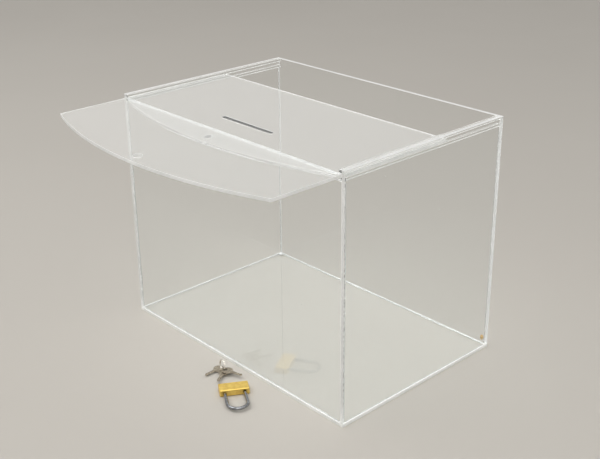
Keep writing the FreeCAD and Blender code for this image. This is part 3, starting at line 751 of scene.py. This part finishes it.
class BuildCase(bpy.types.Operator):
    """Base and walls of clear acrylic sheet, and the strips that make the lid's grooves"""
    bl_idname = "donation_box.build_case"
    bl_label = "Case and rails"

    def execute(self, context):
        settings = context.scene.donation_box.acrylic
        polished = cast_acrylic_polished(settings, "acrylic_cast_polished", 1.0)
        sawn = acrylic_edge("acrylic_edge_sawn", 0.6 * MM, settings.sawn_clearness, 0.3)
        scraped = acrylic_edge("acrylic_edge_scraped", 0.4 * MM, settings.scraped_clearness, 0.12)
        joint = acrylic_joint("acrylic_joint_frosted", 0.2, 0.08, 0.35)
        patchy = acrylic_joint("acrylic_joint_patchy", 0.5, 0.15, 0.2)
        acrylic_sheet("base_plate", polished, sawn, sawn, joint, settings)
        acrylic_sheet("front_wall", polished, scraped, sawn, patchy, settings)
        for node in ("back_wall", "left_wall", "right_wall"):
            acrylic_sheet(node, polished, scraped, sawn, joint, settings)
        for node in RAILS:
            acrylic_sheet(node, polished, polished, sawn, polished, settings)
        cement_beads(settings, acrylic_cement())
        left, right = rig.box("left_wall")[1].x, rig.box("right_wall")[0].x
        back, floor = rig.box("back_wall")[0].y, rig.box("base_plate")[1].z
        # an amber, glossy blob low in the back right corner
        place = (right - 2.0 * MM, back - 2.0 * MM, floor + 8.0 * MM)
        size = (1.6 * MM, 1.6 * MM, 2.6 * MM)
        corner_blob("amber_blob_corner", place, size, amber_blob_finish())
        # a milky white blob in the back left corner: a painted glint where the sawn edges meet
        place = (left + 2.8 * MM, back - 2.8 * MM, floor + 0.9 * MM)
        size = (2.4 * MM, 2.4 * MM, 0.8 * MM)
        corner_blob("painted_glint_blob", place, size, painted_glint_finish())
        return {"FINISHED"}


class BuildLid(bpy.types.Operator):
    """Sliding lid with its slot, and the lock shelf under it"""
    bl_idname = "donation_box.build_lid"
    bl_label = "Lid and lock shelf"

    def execute(self, context):
        settings = context.scene.donation_box.acrylic
        # the pale veil on the lid and the lock shelf is a painted sheen standing in for the reflection of the studio
        # light
        painted_sheen_face = cast_acrylic_polished(settings, "acrylic_cast_painted_sheen", settings.lid_clearness)
        routed = acrylic_edge("acrylic_edge_routed", 0.3 * MM, settings.routed_clearness, 0.3)
        acrylic_sheet("lid", painted_sheen_face, routed, routed, routed, settings)
        acrylic_sheet("lock_shelf", painted_sheen_face, painted_sheen_face, routed, painted_sheen_face, settings)
        return {"FINISHED"}


class BuildPadlock(bpy.types.Operator):
    """Brass padlock body with its lock plug, shackle and works"""
    bl_idname = "donation_box.build_padlock"
    bl_label = "Padlock"

    def execute(self, context):
        settings = context.scene.donation_box
        brass = brass_linished(settings.metal)
        # the chrome is given a tone far darker than bare chrome: painted shade standing in for dark surroundings
        # mirrored in the shackle
        chrome = worked_metal("steel_chrome_painted_dark", "96989C", "717377", 0.05, 0.13, 0.4 * MM)
        steel = worked_metal("spring_steel_drawn", "9FA1A3", "7C7E80", 0.25, 0.4, 0.3 * MM)
        stamped = worked_metal("brass_stamped", "D2B26A", "A8873F", 0.3, 0.45, 0.3 * MM)
        finishes = {
            "brass": brass, "chromed_steel": chrome, "steel": steel, "brass_stampings": stamped}
        for node, slot in SLOT_OF.items():
            if slot in finishes and node != "shackle_spring":
                repaint(node, finishes[slot])
        spring_piece("shackle_spring", "shackle_slide", steel)
        return {"FINISHED"}


class BuildKeys(bpy.types.Operator):
    """Three flat keys on a split ring"""
    bl_idname = "donation_box.build_keys"
    bl_label = "Keys and ring"

    def execute(self, context):
        nickel = worked_metal("nickel_plated_brass", "B9B0A0", "8A8070", 0.18, 0.36, 0.35 * MM)
        # the ring's nickel is made near white, brighter than bare nickel: a painted highlight on the ring
        bright = worked_metal("nickel_wire_painted_highlight", "F1EEE8", "D2CEC6", 0.08, 0.2, 0.35 * MM)
        for node in KEYS:
            key_piece(node, nickel, context.scene.donation_box.metal)
        repaint("key_ring", bright)
        return {"FINISHED"}


class BuildStage(bpy.types.Operator):
    """Plain pale floor, soft studio light and the camera"""
    bl_idname = "donation_box.build_stage"
    bl_label = "Studio"

    def execute(self, context):
        stage = context.scene.donation_box.stage
        self.lay_floor(stage)
        self.light(stage)
        self.stand_camera(context, stage)
        context.scene.view_settings.view_transform = "Standard"
        return {"FINISHED"}

    def lay_floor(self, stage):
        mesh = bmesh.new()
        bmesh.ops.create_circle(mesh, cap_ends=True, segments=96, radius=6.0)
        data = bpy.data.meshes.new("studio_floor")
        mesh.to_mesh(data)
        mesh.free()
        floor = bpy.data.objects.new("studio_floor", data)
        # just below the base, so that the two don't share a face
        floor.location.z = cad_low.z - 0.3 * MM
        bpy.context.scene.collection.objects.link(floor)
        # matt floor paint, rolled a little unevenly in patches 300 mm across
        material, tree, place = new_material("studio_floor_paint")
        patches = add(tree, "ShaderNodeTexNoise", {
            "Vector": place, "Scale": 1 / (300 * MM), "Detail": 3.0, "Roughness": 0.55})
        matt = add(tree, "ShaderNodeMapRange", {
            "Value": patches, "From Min": 0.3, "From Max": 0.7, "To Min": 0.55, "To Max": 0.65})
        shader = add(tree, "ShaderNodeBsdfPrincipled", {
            "Base Color": tuple(stage.floor), "Specular IOR Level": 0.2, "Roughness": matt})
        add(tree, "ShaderNodeOutputMaterial", {"Surface": shader})
        data.materials.append(material)
        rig.stage(floor)

    def light(self, stage):
        world = bpy.data.worlds.new("studio")
        bpy.context.scene.world = world
        world.use_nodes = True
        tree = world.node_tree
        tree.nodes.clear()
        path = add(tree, "ShaderNodeLightPath")
        seen = path.outputs["Is Camera Ray"]
        for ray in ("Is Glossy Ray", "Is Transmission Ray"):
            seen = add(tree, "ShaderNodeMath", {0: seen, 1: path.outputs[ray]}, operation="MAXIMUM")
        shown = add(tree, "ShaderNodeBackground", {
            "Color": tuple(stage.backdrop), "Strength": 1.0})
        ambient = add(tree, "ShaderNodeBackground", {
            "Color": linear("FFFFFF"), "Strength": stage.ambient})
        both = add(tree, "ShaderNodeMixShader", {0: seen, 1: ambient, 2: shown})
        add(tree, "ShaderNodeOutputWorld", {"Surface": both})

        # each lamp's place from the middle of the box, the length of its side and its power
        middle = (cad_low + cad_high) / 2
        lamps = {
            "key_light": (Vector((-0.7, -0.8, 1.75)), 1.4, stage.key_power),
            "fill_light": (Vector((1.1, -0.6, 1.5)), 1.4, stage.key_power * stage.fill_share),
        }
        for name, (offset, size, power) in lamps.items():
            lamp = bpy.data.lights.new(name, "AREA")
            lamp.size = size
            lamp.energy = power
            item = bpy.data.objects.new(name, lamp)
            item.location = middle + offset
            item.rotation_euler = offset.to_track_quat("Z", "Y").to_euler()
            item.visible_camera = False
            bpy.context.scene.collection.objects.link(item)

    def stand_camera(self, context, stage):
        look = CAMERA_LOOK.normalized()
        right = CAMERA_RIGHT.copy()
        right = (right - look * right.dot(look)).normalized()
        up = right.cross(look)
        camera = bpy.data.objects.new("studio_camera", bpy.data.cameras.new("studio_camera"))
        axes = Matrix((right, up, -look)).transposed().to_4x4()
        camera.matrix_world = Matrix.Translation(CAMERA_PLACE) @ axes
        camera.data.sensor_width = SENSOR_WIDTH
        camera.data.lens = stage.lens
        camera.data.clip_start = 0.01
        context.scene.collection.objects.link(camera)
        context.scene.camera = camera


OPERATORS = (BuildCase, BuildLid, BuildPadlock, BuildKeys, BuildStage)


class DonationBoxPanel(bpy.types.Panel):
    """Lists the pieces and their settings"""
    bl_idname = "VIEW3D_PT_donation_box"
    bl_label = "Donation box"
    bl_space_type = "VIEW_3D"
    bl_region_type = "UI"
    bl_category = "Donation box"

    def draw(self, context):
        settings = context.scene.donation_box
        for group in (settings.acrylic, settings.metal, settings.stage):
            column = self.layout.column()
            for name in group.__annotations__:
                column.prop(group, name)
        for operator in OPERATORS:
            self.layout.operator(operator.bl_idname)


GROUPS = (DonationBoxAcrylic, DonationBoxMetal, DonationBoxStage, DonationBoxSettings)
CLASSES = GROUPS + OPERATORS + (DonationBoxPanel,)


def register():
    for item in CLASSES:
        bpy.utils.register_class(item)
    bpy.types.Scene.donation_box = PointerProperty(type=DonationBoxSettings)


def unregister():
    del bpy.types.Scene.donation_box
    for item in reversed(CLASSES):
        bpy.utils.unregister_class(item)


def main():
    register()
    bpy.ops.donation_box.build_case()
    bpy.ops.donation_box.build_lid()
    bpy.ops.donation_box.build_padlock()
    bpy.ops.donation_box.build_keys()
    bpy.ops.donation_box.build_stage()
    bpy.context.view_layer.update()
    low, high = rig.bounds()
    sizes = {"cad": [list(cad_low), list(cad_high)], "visual": [list(low), list(high)]}
    with open(bpy.context.scene.donation_box.size_file, "w") as file:
        json.dump(sizes, file)


if __name__ == "__main__":
    main()
